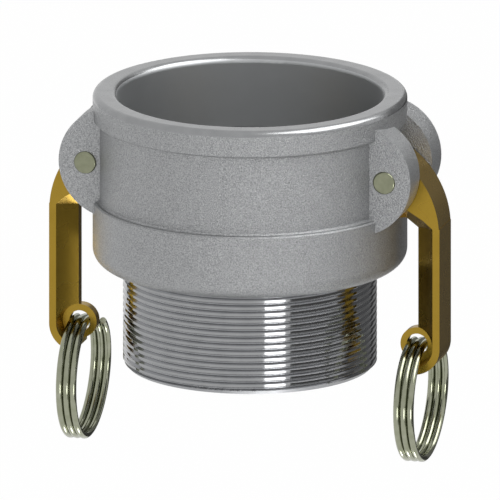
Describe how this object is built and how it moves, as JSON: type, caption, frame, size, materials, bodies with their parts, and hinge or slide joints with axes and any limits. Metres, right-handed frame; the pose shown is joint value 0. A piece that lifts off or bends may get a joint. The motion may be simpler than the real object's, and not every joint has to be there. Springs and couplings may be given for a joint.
{
  "type": "cam lever quick coupler",
  "caption": "Cam-and-groove quick coupler: a gasketed socket shut by two hinged cam arms with pull rings, on a male parallel pipe thread.",
  "frame": {"origin": "on the axis, in the end face of the threaded spigot", "axes": "+Z along the axis towards the mouth of the socket, +X through the right cam arm, +Y away from the viewer of the reference view"},
  "size_m": [0.1398, 0.1088, 0.1276],
  "materials": {
    "cast_aluminium": "bead blasted casting with machined rim, bore and thread",
    "black_rubber": "matt",
    "arm_brass": "smooth, dull polish",
    "pin_steel": "turned",
    "ring_steel": "drawn wire, bright"
  },
  "bodies": {
    "base": {"coupler_body": "cast_aluminium", "face_gasket": "black_rubber", "right_pivot_pin": "pin_steel", "left_pivot_pin": "pin_steel"},
    "right_arm": {"right_cam_arm": "arm_brass"},
    "left_arm": {"left_cam_arm": "arm_brass"},
    "right_ring": {"right_pull_ring": "ring_steel"},
    "left_ring": {"left_pull_ring": "ring_steel"}
  },
  "joints": [
    {"name": "right_arm_swing", "type": "hinge", "parent": "base", "child": "right_arm", "pos_m": [0.0535, 0, 0.0732], "axis": [0, -1, 0], "range_deg": [0, 105]},
    {"name": "left_arm_swing", "type": "hinge", "parent": "base", "child": "left_arm", "pos_m": [-0.0535, 0, 0.0732], "axis": [0, 1, 0], "range_deg": [0, 105]},
    {"name": "right_ring_swing", "type": "hinge", "parent": "right_arm", "child": "right_ring", "pos_m": [0.0604, 0, 0.0112], "axis": [0, -1, 0], "range_deg": [-50, 160]},
    {"name": "left_ring_swing", "type": "hinge", "parent": "left_arm", "child": "left_ring", "pos_m": [-0.0604, 0, 0.0112], "axis": [0, 1, 0], "range_deg": [-50, 160]}
  ]
}
